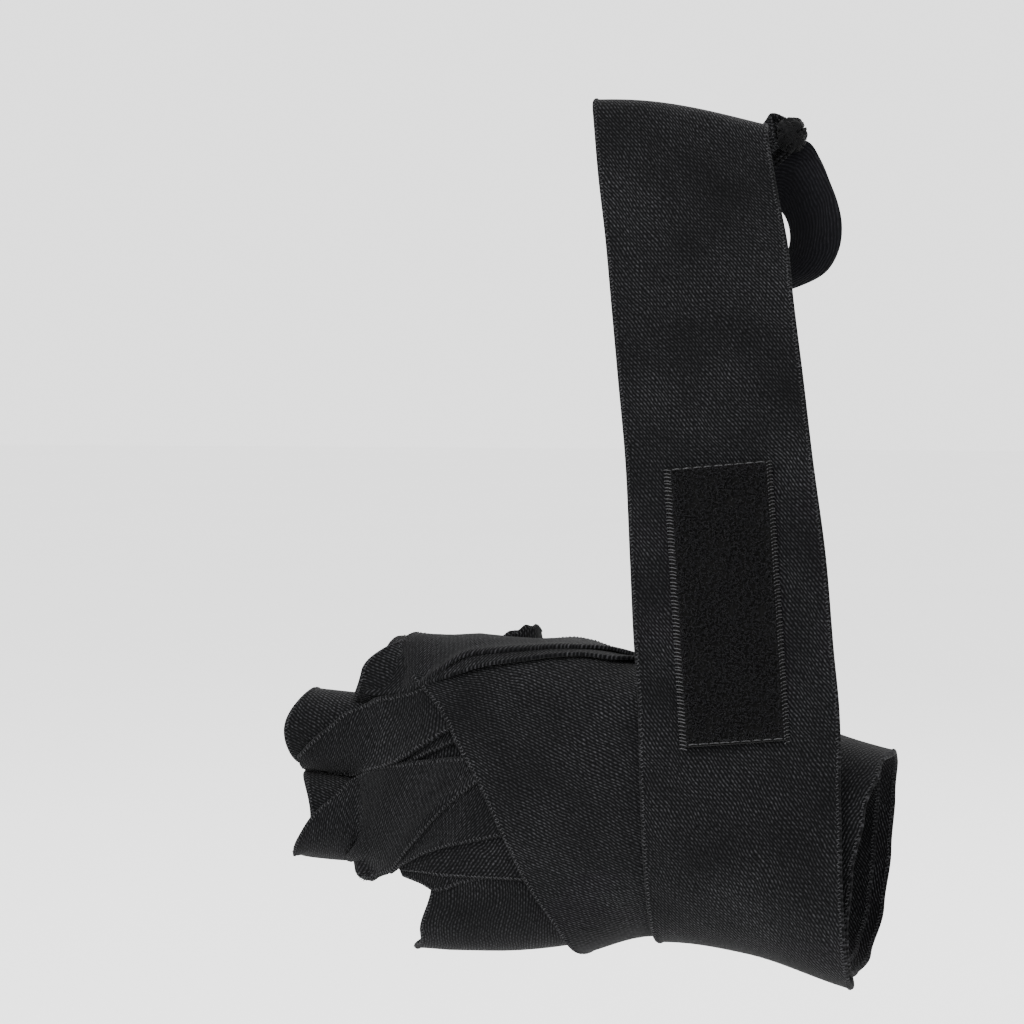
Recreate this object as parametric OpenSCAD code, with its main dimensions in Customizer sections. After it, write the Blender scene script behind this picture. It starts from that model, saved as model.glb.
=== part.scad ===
// Hand wrap, wound on a left hand, with its free end drawn up from the wrist.
// X runs along the hand, fingers towards -X and forearm towards +X. Z is up,
// along the free end. The back of the hand faces -Y. The origin lies inside
// the wrist turns, on the line of the forearm.

/* [Strip] */
// Width of the strip where it is wound
strip_w = 50; // [48:1:52]
// Width of the strip where it is drawn tight
drawn_w = 46; // [44:1:48]
// Thickness of the cloth
cloth_t = 1; // [0.8:0.1:1]
// Step from one layer of turns to the next
layer_step = 1.3; // [1.3:0.1:1.5]

/* [Free end] */
// Lean of the free end away from the back of the hand, in degrees
lean_back = 13.5; // [10:0.5:16]
// Lean of the patched stretch towards the fingers, in degrees
lean_lower = 5.5; // [3:0.5:8]
// Lean of the stretch above it towards the fingers, in degrees
lean_upper = 8; // [5:0.5:10]
// Length of the patched stretch
lower_len = 80; // [78:1:84]
// Length of the left edge of the stretch above it
upper_left_len = 96; // [90:1:100]
// Length of the right edge of the stretch above it
upper_right_len = 82; // [78:1:86]
// Radius of the fold at the top
fold_r = 5; // [4:0.5:6]

/* [Loop patch] */
// Width of the loop patch between its side stitches
patch_w = 24; // [20:1:30]
// Length of the loop patch between its end stitches
patch_len = 68; // [60:1:70]
// Thickness of the loop patch with its pile
patch_t = 1.6; // [1.2:0.1:2]
// Width of the overlock along the patch's sides
overlock_w = 1.6; // [1:0.1:2]

/* [Thumb loop] */
// Width of the thumb loop across its two branches
loop_w = 38; // [34:1:42]
// Length of the thumb loop below its bartack
loop_len = 35; // [34:1:40]
// Width of the eye in the thumb loop
eye_w = 15; // [12:1:17]
// Thickness of the thumb loop's tape
tape_t = 1.6; // [1.2:0.1:2]

/* [Hidden] */

cloth = "#1d1d20";
cloth_light = "#26262a";
pile = "#121214";
thread = "#8a8a8c";

// Degrees round the hand or a finger between two rows of points
turn_step = 10;
sleeve_step = 20;
// Sections across the strip
across = 4;

// The hand's section at x: middle height, half height and half depth
function hand_mid(x) = x < -45 ? 16 : 16 - 16 * pow((x + 45) / 83, 2);
function hand_half_h(x) = x < -70 ? 36.5 : 36.5 - 9.8 * pow((x + 70) / 108, 1.5);
function hand_half_d(x) = x > 0 ? 21 : 21 - 10.5 * pow(-x / 120, 1.4);

// Squares an ellipse's sine or cosine up a little
function boxy(c) = sign(c) * pow(abs(c), 0.85);

// Point on the hand: 0 degrees faces -Y, 90 degrees faces +Z
hand = function(x, t, lift) [
    x,
    -(hand_half_d(x) + lift) * boxy(cos(t)),
    hand_mid(x) + (hand_half_h(x) + lift) * boxy(sin(t))];

// Point on a finger whose middle is at height z
function finger(z, r) = function(x, t, lift) [x, -(r + lift) * cos(t), z + (r + lift) * sin(t)];

index_z = 47.5;
middle_z = 29.2;
ring_z = 9.4;
little_z = -12.6;
finger_r = 7.7;
// The finger sleeves end here, and the turns round the palm start beyond it
knuckle_x = -77;

// Triangles of one face of a grid of points. A ring's last row meets its first.
function face_tris(rows, cols, base, flip, ring) =
    [for (i = [0:rows - (ring ? 1 : 2)]) for (j = [0:cols - 2])
        let (a = base + i * cols + j, c = base + ((i + 1) % rows) * cols + j)
        each flip ? [[a, a + 1, c], [a + 1, c + 1, c]] : [[a, c, a + 1], [a + 1, c, c + 1]]];

// Triangles that join the edges of two grids along a run of point numbers
function rim_tris(run, gap, flip) = [for (k = [0:len(run) - 2])
    let (a = run[k], b = run[k + 1])
    each flip ? [[a, a + gap, b], [b, a + gap, b + gap]] : [[a, b, a + gap], [b, b + gap, a + gap]]];

// Closed cloth between an inner and an outer grid of points
module sheet(inner, outer, ring = false) {
    rows = len(inner);
    cols = len(inner[0]);
    gap = rows * cols;
    side = cross(inner[1][0] - inner[0][0], inner[0][1] - inner[0][0]);
    flip = side * (outer[0][0] - inner[0][0]) < 0;
    last = ring ? rows : rows - 1;
    left = [for (i = [0:last]) (i % rows) * cols];
    right = [for (i = [last:-1:0]) (i % rows) * cols + cols - 1];
    start = [for (j = [cols - 1:-1:0]) j];
    end = [for (j = [0:cols - 1]) (rows - 1) * cols + j];
    polyhedron(concat([for (row = inner) each row], [for (row = outer) each row]), concat(
        face_tris(rows, cols, 0, !flip, ring),
        face_tris(rows, cols, gap, flip, ring),
        rim_tris(left, gap, flip),
        rim_tris(right, gap, flip),
        ring ? [] : rim_tris(start, gap, flip),
        ring ? [] : rim_tris(end, gap, flip)));
}

// A turn of the strip on a form, between two edges given as [angle, x] pairs.
// skew turns the first end by so many degrees for each millimetre of x.
module turn(form, layer, from, to, left, right, skew = 0, step = turn_step, ring = false) {
    steps = round(abs(to - from) / step);
    grid = function(lift) [for (i = [0:steps - (ring ? 1 : 0)])
        let (t = from + (to - from) * i / steps, x0 = lookup(t, left), x1 = lookup(t, right))
        [for (j = [0:across]) let (x = x0 + (x1 - x0) * j / across)
            form(x, t + skew * x * (1 - i / steps), lift)]];
    sheet(grid(layer * layer_step), grid(layer * layer_step + cloth_t), ring);
}

// A turn that closes on itself
module ring_turn(form, layer, left, right, step = turn_step) {
    turn(form, layer, 0, 360, left, right, step = step, ring = true);
}

// ---- Turns round the wrist ----

module first_wrist_turn() {
    color(cloth) ring_turn(hand, 0, [[0, -22]], [[0, -22 + strip_w]]);
}

module cuff_turn() {
    color(cloth) ring_turn(hand, 1, [[0, -12]], [[0, 27], [90, 36], [180, 38], [270, 27], [360, 27]]);
}

module last_wrist_turn() {
    color(cloth_light) turn(hand, 3, 20, -240,
        [[0, -strip_w / 2 + 0.5]], [[0, strip_w / 2 - 0.5]], skew = 0.44);
}

// ---- Turns round the palm ----

module palm_turn() {
    color(cloth) ring_turn(hand, 0, [[0, knuckle_x + 2]],
        [[0, -27], [90, -27], [110, -54], [170, -54], [190, -27], [360, -27]]);
}

module second_palm_turn() {
    color(cloth) turn(hand, 1, -190, 110, [[0, -62]], [[0, -14]]);
}

module diagonal_back_turn() {
    color(cloth_light) turn(hand, 2, 100, -110,
        [[-110, -44], [-60, -48], [-30, -54], [0, -63], [25, -72], [50, -81], [60, -76.5], [100, -76.5]],
        [[-110, 6], [-60, 4], [-30, 0], [0, -6], [25, -14], [50, -24], [100, -30]]);
}

module palm_cross_turn() {
    color(cloth) turn(hand, 2, 110, 240,
        [[110, -86], [170, -78], [200, -64], [240, -46]],
        [[110, -57], [170, -56], [200, -24], [240, 0]]);
}

module palm_counter_turn() {
    color(cloth_light) turn(hand, 3, 120, 240,
        [[120, -80], [180, -76], [240, -72]],
        [[120, -60], [170, -57], [200, -30], [240, -28]]);
}

// ---- Bands along the index finger's side ----

module index_top_band() {
    color(cloth) turn(hand, 4, 50, 110,
        [[50, -100], [90, -88], [110, -86]],
        [[50, -82], [60, -66], [70, -46], [80, -28], [110, -28]]);
}

module index_lower_band() {
    color(cloth_light) turn(hand, 3, 40, 70,
        [[40, -84], [70, -84]], [[40, -74], [50, -60], [60, -40], [70, -28]]);
}

module thumb_pass() {
    color(cloth) turn(hand, 5, 80, 150, [[80, -68], [150, -72]], [[80, -50], [110, -57], [150, -60]]);
}

// ---- Sleeves and bands at the fingers ----

module finger_sleeve(z, left) {
    ring_turn(finger(z, finger_r), 0, left, [[0, knuckle_x]], step = sleeve_step);
}

module index_finger_sleeve() {
    color(cloth) finger_sleeve(index_z, [[0, -98], [60, -92], [90, -89], [180, -92], [270, -99], [360, -98]]);
}

module middle_finger_sleeve() {
    color(cloth) finger_sleeve(middle_z, [[0, -119], [90, -116], [180, -112], [270, -117], [360, -119]]);
}

module ring_finger_sleeve() {
    color(cloth) finger_sleeve(ring_z, [[0, -114], [90, -116], [180, -112], [270, -119], [360, -114]]);
}

module little_finger_sleeve() {
    color(cloth) finger_sleeve(little_z, [[0, -84], [90, -84], [180, -90], [270, -89], [360, -84]]);
}

module middle_cross_band() {
    color(cloth_light) turn(hand, 1, 0, 40,
        [[0, -117], [10, -115], [20, -108], [30, -98], [40, -88]],
        [[0, -106], [10, -90], [20, -81], [30, -76], [40, -74]]);
}

module ring_cross_band() {
    color(cloth_light) turn(hand, 0, -30, 10,
        [[-30, -116], [-20, -117], [-10, -114], [0, -110], [10, -104]],
        [[-30, -96], [-20, -88], [-10, -80], [0, -77], [10, -77]]);
}

module little_fan_band() {
    color(cloth) turn(hand, 1, -30, -5,
        [[-30, -90], [-20, -90], [-5, -80]], [[-30, -64], [-5, -64]], step = 5);
}

module little_side_turn() {
    color(cloth_light) turn(hand, 1, -100, -35,
        [[-100, -88], [-80, -87], [-60, -82], [-35, -78]], [[-100, -64], [-35, -64]], step = 5);
}

// ---- Free end ----

// Where the strip leaves the wrist, which is also where it swings
run_base = [0, -24.8, 27];
hinge_gap = 0.5;
run_t = 1.1;
// The stretch above the patch starts this far past its fold line, to clear it at the corners
fold_gap = 1.8;

// Places its children on the patched stretch, with the strip along local +Z
module on_lower_run() {
    translate(run_base) rotate([-lean_back, 0, 0]) rotate([0, -lean_lower, 0]) children();
}

// Places its children on the stretch above the patch
module on_upper_run() {
    on_lower_run() translate([0, 0, lower_len])
        rotate([0, lean_lower - lean_upper, 0]) children();
}

// A flat piece with its outline in local X and Z, between two local Y values
module flat_piece(outline, y0, y1) {
    translate([0, y1, 0]) rotate([90, 0, 0]) linear_extrude(y1 - y0) polygon(outline);
}

module lower_run() {
    color(cloth_light) on_lower_run() flat_piece([
        [-strip_w / 2, hinge_gap], [strip_w / 2, hinge_gap],
        [drawn_w / 2 + 0.5, lower_len - hinge_gap], [-drawn_w / 2 - 0.5, lower_len - hinge_gap]],
        -run_t / 2, run_t / 2);
}

patch_base = 8.5;
patch_front = -run_t / 2 - patch_t;
stitch_front = patch_front + 0.3;

module loop_patch() {
    color(pile) on_lower_run() translate([-patch_w / 2, patch_front, patch_base])
        cube([patch_w, patch_t, patch_len]);
}

module patch_side_stitches() {
    color(thread) on_lower_run() for (side = [-1, 1])
        translate([side * (patch_w + overlock_w) / 2 - overlock_w / 2, stitch_front, patch_base])
            cube([overlock_w, -run_t / 2 - stitch_front, patch_len]);
}

end_stitch_h = 1.5;

module patch_end_stitches() {
    color(thread) on_lower_run() for (z = [patch_base - end_stitch_h, patch_base + patch_len])
        translate([-patch_w / 2, stitch_front, z])
            cube([patch_w, -run_t / 2 - stitch_front, end_stitch_h]);
}

module upper_run() {
    color(cloth_light) on_upper_run() flat_piece([
        [-drawn_w / 2 - 0.5, fold_gap], [drawn_w / 2 + 0.5, fold_gap],
        [drawn_w / 2, upper_right_len], [-drawn_w / 2, upper_left_len]],
        -run_t / 2, run_t / 2);
}

// The fold's line slopes down from the left edge to the right edge
fold_slope = atan2(upper_left_len - upper_right_len, drawn_w);
fold_mid_z = (upper_left_len + upper_right_len) / 2;
fold_len = drawn_w / cos(fold_slope);

// Places its children on the fold, with its line along local X
module on_fold() {
    on_upper_run() translate([0, 0, fold_mid_z]) rotate([0, fold_slope, 0]) children();
}

module top_fold() {
    color(cloth) on_fold() translate([-fold_len / 2, fold_r, 0.05]) rotate([0, 90, 0])
        difference() {
            cylinder(h = fold_len, r = fold_r + run_t / 2, $fn = 48);
            translate([0, 0, -1]) cylinder(h = fold_len + 2, r = fold_r - run_t / 2, $fn = 48);
            translate([0, -2 * fold_r, -1]) cube([4 * fold_r, 4 * fold_r, fold_len + 2]);
        }
}

// ---- Tail and thumb loop, behind the fold ----

// The tail swings on this line, and hangs straight down from it
tail_y = 2 * fold_r + 1.7;
tail_axis_z = 5;

// Places its children on the tail, with its swing line along local X
module on_tail() {
    on_fold() translate([0, tail_y, tail_axis_z]) rotate([lean_back, 0, 0]) children();
}

bartack_x = 28;
bartack_z = -1;
bartack_size = [7, 6.4, 10];
// The thumb loop hangs this far behind the tail's cloth
loop_y = 4;

// The tail gathers from the fold's line to the bartack at its right
tail_left_x = -20;
tail_right_x = bartack_x - bartack_size[0] / 2 - 0.1;
tail_drop = 5.8;
tail_left_h = 26;
tail_tip_h = 8;
tail_cols = 8;
tail_rows = 8;
ripple = 0.8;

function tail_x(s) = tail_left_x + (tail_right_x - tail_left_x) * s;
function tail_top(s) = -tail_drop + (tail_drop + 3) * pow(s, 6);
function tail_height(s) = tail_left_h + (tail_tip_h - tail_left_h) * pow(s, 0.8);
function tail_ripple(s, v) = ripple * sin(v * 540) * s * (1 - s);

module gathered_tail() {
    grid = function(y) [for (i = [0:tail_cols]) let (s = i / tail_cols) [for (j = [0:tail_rows])
        let (v = j / tail_rows) [tail_x(s), y + tail_ripple(s, v), tail_top(s) - tail_height(s) * v]]];
    color(cloth) on_tail() sheet(grid(-run_t / 2), grid(run_t / 2));
}

hook_size = [22, 1.2, 15];
hook_at = [-17, run_t / 2 + ripple / 4 + 0.1, -26.5];
hook_stitch = 0.9;

module hook_patch() {
    color(pile) on_tail() translate(hook_at) cube(hook_size);
}

module hook_stitches() {
    color(thread) on_tail() for (z = [-hook_stitch, hook_size[2]])
        translate(hook_at + [0, 0, z]) cube([hook_size[0], hook_size[1] - 0.2, hook_stitch]);
}

// Places its children at the bartack
module at_bartack() {
    on_tail() translate([bartack_x, 0, bartack_z]) children();
}

module bartack() {
    color(thread) at_bartack() translate(-bartack_size / 2 + [0, loop_y - 2, 0]) cube(bartack_size);
}

// The loop is a ring whose top leans over to its neck at the bartack
loop_top = -bartack_size[2] / 2 - 1.3;
loop_neck = [5, 13];
eye_h = 20;
loop_oval_h = loop_len - 6;

// Point at angle a on an oval whose middle is at height z
function oval(w, h, z, a) = [w / 2 * cos(a), z + h / 2 * sin(a)];

loop_outline = concat([[loop_neck[1], 0], [loop_neck[0], 0]],
    [for (a = [120:10:420]) oval(loop_w, loop_oval_h, loop_oval_h / 2 - loop_len, a)]);
eye_outline = [for (a = [0:10:350]) oval(eye_w, eye_h, -loop_len / 2 - 3, a)];

// Turns its children upright again
module upright() {
    rotate([-lean_back, 0, 0]) rotate([0, lean_upper - fold_slope, 0])
        rotate([lean_back, 0, 0]) children();
}

module thumb_loop() {
    color(cloth) at_bartack() upright()
        translate([-(loop_neck[0] + loop_neck[1]) / 2, loop_y + tape_t / 2, loop_top]) rotate([90, 0, 0])
            linear_extrude(tape_t) difference() {
                polygon(loop_outline);
                polygon(eye_outline);
            }
}

first_wrist_turn();
cuff_turn();
last_wrist_turn();
palm_turn();
second_palm_turn();
diagonal_back_turn();
index_top_band();
index_lower_band();
index_finger_sleeve();
middle_finger_sleeve();
ring_finger_sleeve();
little_finger_sleeve();
middle_cross_band();
ring_cross_band();
little_fan_band();
little_side_turn();
palm_cross_turn();
palm_counter_turn();
thumb_pass();
lower_run();
loop_patch();
patch_side_stitches();
patch_end_stitches();
upper_run();
top_fold();
gathered_tail();
hook_patch();
hook_stitches();
bartack();
thumb_loop();
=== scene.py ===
"""The looks of a hand wrap: one dark elastic strip, wound on a hand and drawn up from the wrist.

X runs along the hand towards the forearm, the back of the hand faces -Y, and Z is up along the
free end.
"""

import math

import bpy
import numpy as np
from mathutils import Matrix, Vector


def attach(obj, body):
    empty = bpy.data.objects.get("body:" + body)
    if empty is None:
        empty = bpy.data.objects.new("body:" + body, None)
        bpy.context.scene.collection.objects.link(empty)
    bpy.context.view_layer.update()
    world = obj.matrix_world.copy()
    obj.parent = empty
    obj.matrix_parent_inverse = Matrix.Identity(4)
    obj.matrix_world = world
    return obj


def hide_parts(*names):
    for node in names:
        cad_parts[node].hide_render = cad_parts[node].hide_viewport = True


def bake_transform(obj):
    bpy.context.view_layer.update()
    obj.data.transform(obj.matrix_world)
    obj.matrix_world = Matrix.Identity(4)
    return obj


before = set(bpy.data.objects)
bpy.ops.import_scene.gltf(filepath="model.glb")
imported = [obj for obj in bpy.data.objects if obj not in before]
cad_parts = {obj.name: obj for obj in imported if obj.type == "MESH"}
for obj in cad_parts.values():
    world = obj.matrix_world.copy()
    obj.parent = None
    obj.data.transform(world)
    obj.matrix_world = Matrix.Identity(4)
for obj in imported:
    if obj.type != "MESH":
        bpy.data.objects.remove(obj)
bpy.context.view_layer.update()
MM = 0.001
TURN = 2 * math.pi
rng = np.random.default_rng(7)

# ---- Hand form: an unseen distance field that the turns are laid on ----

# Sections of the palm and wrist: x, middle height, half height, half depth
SECTIONS = np.array([
    [-125, 14.7, 35, 10.5], [-90, 14.5, 35.5, 14.0], [-60, 13.9, 36.1, 17.0], [-45, 15.2, 35.1, 18.4],
    [-26, 16.2, 30.4, 19.8], [0, 11.9, 27.7, 21.0], [26, 3.5, 27.0, 21.0], [45, -0.5, 26.5, 21.0]])
# The palm rounds off towards the roots of the fingers from here, over this length
ROOT_X = -76.0
ROOT_LEN = 26.0
# Power of the superellipse that a section is: 2 is an ellipse, and more is squarer
SQUARENESS = 2.35
# Fingers and thumb: start and end of the axis, and radius
FINGERS = {
    "index": ((-55, 0, 39.5), (-125, -2, 54.2), 8.9),
    "middle": ((-55, 0, 28), (-135, -3, 35), 8.5),
    "ring": ((-55, 0, 9.6), (-135, -3, 11.3), 9.2),
    "little": ((-50, 1, -5), (-115, -2, -19.5), 9.2),
    "thumb": ((-10, 12, 20), (-48, 14, 40), 10.0),
}
# The forms run together over MELT at the palm and over APART along the fingers, and WEB is
# the stretch of x between the two
MELT = 7.0
APART = 1.2
WEB = (-109.0, -84.0)
# How much of the way to the surface one step goes, and how many steps are taken
LAY_STEP = 0.85
LAY_ROUNDS = 14
FRONT_STEP = 0.7
FRONT_ROUNDS = 60
FRONT_Y = -60.0


def smooth_path(points, at):
    """Smooth curve through points, which lie at 0 to 1 by chord length, read at the values at."""
    points = np.asarray(points, float)
    steps = np.linalg.norm(np.diff(points, axis=0), axis=1)
    t = np.concatenate([[0], np.cumsum(np.maximum(steps, 1e-6))])
    t /= t[-1]
    slopes = np.gradient(points, t, axis=0)
    k = np.clip(np.searchsorted(t, at, side="right") - 1, 0, len(t) - 2)
    h = (t[k + 1] - t[k])[:, None]
    s = ((np.asarray(at) - t[k])[:, None]) / h
    return ((2 * s**3 - 3 * s**2 + 1) * points[k] + (s**3 - 2 * s**2 + s) * h * slopes[k]
            + (3 * s**2 - 2 * s**3) * points[k + 1] + (s**3 - s**2) * h * slopes[k + 1])


SECTION_ROWS = smooth_path(SECTIONS, np.linspace(0, 1, 200))


def section_at(x):
    """Middle height, half height and half depth of the palm or wrist at x."""
    return (np.interp(x, SECTION_ROWS[:, 0], SECTION_ROWS[:, i]) for i in (1, 2, 3))


def smoothstep(a, b, x):
    """Rises smoothly from 0 at a to 1 at b."""
    t = np.clip((x - a) / (b - a), 0, 1)
    return t * t * (3 - 2 * t)


def melt(a, b, k):
    """Smooth union of two distances."""
    h = np.maximum(k - np.abs(a - b), 0) / k
    return np.minimum(a, b) - h * h * k / 4


def distance(p):
    """Distance from the hand form, for an array of points."""
    x, y, z = p[..., 0], p[..., 1], p[..., 2]
    mid, half_h, half_d = section_at(x)
    end = np.sqrt(np.clip(1 - (np.clip(ROOT_X - x, 0, None) / ROOT_LEN) ** 2, 0.01, 1))
    rho = ((np.abs(y) / (half_d * end)) ** SQUARENESS
           + (np.abs(z - mid) / (half_h * end)) ** SQUARENESS) ** (1 / SQUARENESS)
    out = np.hypot(y, z - mid) * (1 - 1 / np.maximum(rho, 1e-3))
    blend = APART + (MELT - APART) * smoothstep(*WEB, x)
    for start, stop, radius in FINGERS.values():
        start, stop = np.array(start, float), np.array(stop, float)
        axis = stop - start
        t = np.clip(((p - start) @ axis) / (axis @ axis), 0, 1)
        out = melt(out, np.linalg.norm(p - start - t[..., None] * axis, axis=-1) - radius, blend)
    return out


def outward(p, eps=0.3):
    """Unit direction away from the hand form."""
    g = np.stack([distance(p + eps * e) - distance(p - eps * e) for e in np.eye(3)], axis=-1)
    return g / np.maximum(np.linalg.norm(g, axis=-1, keepdims=True), 1e-9)


def lay(p, lift):
    """Points moved onto the surface that is lift away from the hand form."""
    p = np.array(p, float)
    for _ in range(LAY_ROUNDS):
        p = p - LAY_STEP * (distance(p) - lift)[..., None] * outward(p)
    return p


def front(x, z, lift):
    """The point that shows at x, z from the front, lift away from the hand form."""
    p = np.array([x, FRONT_Y, z], float)
    for _ in range(FRONT_ROUNDS):
        p[1] += FRONT_STEP * (float(distance(p)) - lift)
        if p[1] > 0:
            return np.array([x, 0.0, z], float)
    return p


# ---- Meshes ----


def make_object(name, verts, faces, uv=None, sharp=50, materials=(), indices=None):
    """A smooth mesh object from points in mm, with creases where it turns by more than sharp."""
    mesh = bpy.data.meshes.new(name)
    mesh.from_pydata((np.asarray(verts) * MM).tolist(), [], faces)
    if uv is not None:
        layer = mesh.uv_layers.new(name="Strip")
        layer.data.foreach_set("uv", np.asarray(uv, np.float32).ravel())
    for material in materials:
        mesh.materials.append(material)
    if indices is not None:
        mesh.polygons.foreach_set("material_index", indices)
    mesh.polygons.foreach_set("use_smooth", [True] * len(mesh.polygons))
    mesh.validate()
    mesh.update()
    mesh.set_sharp_from_angle(angle=math.radians(sharp))
    obj = bpy.data.objects.new(name, mesh)
    bpy.context.scene.collection.objects.link(obj)
    return obj


def unit(v):
    """Vectors at a length of 1."""
    return v / np.maximum(np.linalg.norm(v, axis=-1, keepdims=True), 1e-9)


def grid_normals(grid, ring=False):
    """Unit normals of a grid of points, from its rows and columns."""
    if ring:
        along = np.roll(grid, -1, axis=0) - np.roll(grid, 1, axis=0)
    else:
        along = np.gradient(grid, axis=0)
    return unit(np.cross(along, np.gradient(grid, axis=1)))


# Half the cloth's thickness, and how much a selvedge adds to it over how much of the width
CLOTH_HALF = 0.42
EDGE_BEAD = 0.12
EDGE_BEAD_W = 0.9
# A sheet's edges are rounded with points at these angles
RIM_ANGLES = (60, 0, -60)
RIM = len(RIM_ANGLES)
# Overlock threads along a selvedge: spacing, reach in from the edge, and radius
OVERLOCK_STEP = 0.95
OVERLOCK_REACH = 0.6
OVERLOCK_R = 0.12


def thread_rings(path, radius, sides):
    """Vertices of a tube, as one ring of points for each point of its path."""
    path = np.asarray(path, float)
    around = np.linspace(0, TURN, sides, endpoint=False)
    along = unit(np.gradient(path, axis=0))
    ref = np.where(np.abs(along[:, 1:2]) < 0.8, [[0.0, 1.0, 0.0]], [[1.0, 0.0, 0.0]])
    a = unit(np.cross(along, ref))
    b = np.cross(along, a)
    return path[:, None] + radius * (np.cos(around)[None, :, None] * a[:, None]
                                     + np.sin(around)[None, :, None] * b[:, None])


def tube_mesh(paths, radius, sides, base=0):
    """Vertices and faces of many threads. Vertex numbers start at base."""
    verts = [np.zeros((0, 3))]
    faces = []
    for path in paths:
        rings = thread_rings(path, radius, sides)
        verts.append(rings.reshape(-1, 3))
        for i in range(len(rings) - 1):
            for k in range(sides):
                m = (k + 1) % sides
                faces.append((base + i * sides + k, base + i * sides + m,
                              base + (i + 1) * sides + m, base + (i + 1) * sides + k))
        faces.append(tuple(base + k for k in reversed(range(sides))))
        faces.append(tuple(base + (len(rings) - 1) * sides + k for k in range(sides)))
        base += len(rings) * sides
    return np.concatenate(verts), faces


def tubes(name, paths, radius, material, sides=5):
    """Many thin threads as one object."""
    verts, faces = tube_mesh(paths, radius, sides)
    return make_object(name, verts, faces, sharp=80, materials=(material,))


def overlock(grid, normals, half, j, inner):
    """Paths of the short threads that go over the edge at column j of a sheet."""
    edge = grid[:, j]
    length = np.concatenate([[0], np.cumsum(np.linalg.norm(np.diff(edge, axis=0), axis=1))])
    at = np.arange(0.5, length[-1] - 0.5, OVERLOCK_STEP)
    paths = []
    for s in at + rng.uniform(-0.12, 0.12, len(at)):
        p, q, n = (np.array([np.interp(s, length, a[:, k]) for k in range(3)])
                   for a in (edge, grid[:, inner], normals[:, j]))
        inward = unit(q - p)
        slant = np.cross(n, inward) * rng.uniform(0.1, 0.5)
        reach = inward * OVERLOCK_REACH * rng.uniform(0.75, 1.2)
        lift = n * (half + OVERLOCK_R * 0.45)
        paths.append(np.array([p + reach + lift + slant, p + inward * 0.1 + lift,
                               p - inward * half * 0.85, p + inward * 0.1 - lift,
                               p + reach - lift - slant]))
    return paths


def rim(grid, normals, h, j, inner, angles):
    """The rounded edge of a sheet at column j, as columns of points."""
    side = unit(grid[:, j] - grid[:, inner])
    r = h[:, j, None]
    return [grid[:, j] + side * r * math.cos(math.radians(a))
            + normals[:, j] * r * math.sin(math.radians(a)) for a in angles]


def sheet_sections(grid, normals, h):
    """Closed section of each row of a sheet: its top, a rim, its underside and the other rim."""
    top = grid + normals * h[..., None]
    low = grid - normals * h[..., None]
    loop = [top[:, j] for j in range(grid.shape[1])]
    loop += rim(grid, normals, h, -1, -2, RIM_ANGLES)
    loop += [low[:, j] for j in reversed(range(grid.shape[1]))]
    loop += rim(grid, normals, h, 0, 1, [-a for a in RIM_ANGLES])
    return np.stack(loop, axis=1)


def sheet_corners(rows, cols, ring):
    """Each face's corners, as (row, place round the section, row along the strip)."""
    size = 2 * (cols + RIM)
    corners = []
    for i in range(rows if ring else rows - 1):
        n = (i + 1) % rows
        for k in range(size):
            m = (k + 1) % size
            corners.append([(i, k, i), (i, m, i), (n, m, i + 1), (n, k, i + 1)])
    if ring:
        return corners
    under = [size - RIM - 1 - j for j in range(cols)]
    caps = [(j, j + 1, under[j + 1], under[j]) for j in range(cols - 1)]
    caps += [tuple(range(cols - 1, cols + RIM + 1)), tuple(range(size - RIM - 1, size)) + (0,)]
    corners += [[(0, k, 0) for k in cap[::-1]] for cap in caps]
    corners += [[(rows - 1, k, rows - 1) for k in cap] for cap in caps]
    return corners


def cloth(name, grid, normals, ring=False, twill=0.0, half=CLOTH_HALF, bead=EDGE_BEAD,
          threads=(True, True), material=None, start=0.0):
    """A closed sheet of cloth round a grid of points, rows along the strip and columns across it.

    twill turns the weave, in degrees, and start is where it begins along the strip. The sheet's
    edges are a little thicker than its middle, and threads says which of them have overlock.
    """
    rows, cols = grid.shape[:2]
    across = np.concatenate([np.zeros((rows, 1)), np.cumsum(
        np.linalg.norm(np.diff(grid, axis=1), axis=2), axis=1)], axis=1)
    steps = np.linalg.norm(np.diff(grid, axis=0), axis=2).mean(axis=1)
    along = np.concatenate([[0], np.cumsum(steps)])
    along = np.append(along, along[-1] + steps.mean())
    along = along + start

    edge = np.minimum(across, across[:, -1:] - across)
    h = half + bead * np.exp(-(edge / EDGE_BEAD_W) ** 2)
    verts = sheet_sections(grid, normals, h)
    size = verts.shape[1]
    v = np.concatenate([across, across[:, [-1] * RIM], across[:, ::-1], across[:, [0] * RIM]], axis=1)
    v -= across.mean(axis=1, keepdims=True)

    corners = sheet_corners(rows, cols, ring)
    faces = [tuple(i * size + k for i, k, _ in face) for face in corners]
    c, s = math.cos(math.radians(twill)), math.sin(math.radians(twill))
    uv = [(along[row] * c + v[i, k] * s, v[i, k] * c - along[row] * s)
          for face in corners for i, k, row in face]

    paths = []
    for shown, j, inner in zip(threads, (0, -1), (1, -2)):
        if shown:
            paths += overlock(grid, normals, float(h[0, 0]), j, inner)
    more, more_faces = tube_mesh(paths, OVERLOCK_R, 4, rows * size)
    uv += [(0.0, 0.0)] * sum(len(f) for f in more_faces)
    return make_object(
        name, np.concatenate([verts.reshape(-1, 3), more]), faces + more_faces, uv,
        materials=(material or CLOTH, EDGE_THREAD),
        indices=[0] * len(faces) + [1] * len(more_faces))


def columns(count, spread=2.2):
    """Places across a strip from 0 to 1, closer together near its edges."""
    s = np.linspace(-1, 1, count)
    return 0.5 + 0.5 * np.tanh(spread * s) / math.tanh(spread)


def rail(points, levels):
    """A rail's points: (x, z) shows on the front of the hand, (x, y, z) is a place in space."""
    return np.array([front(*p, lift) if len(p) == 2 else p for p, lift in zip(points, levels)],
                    float)


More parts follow.
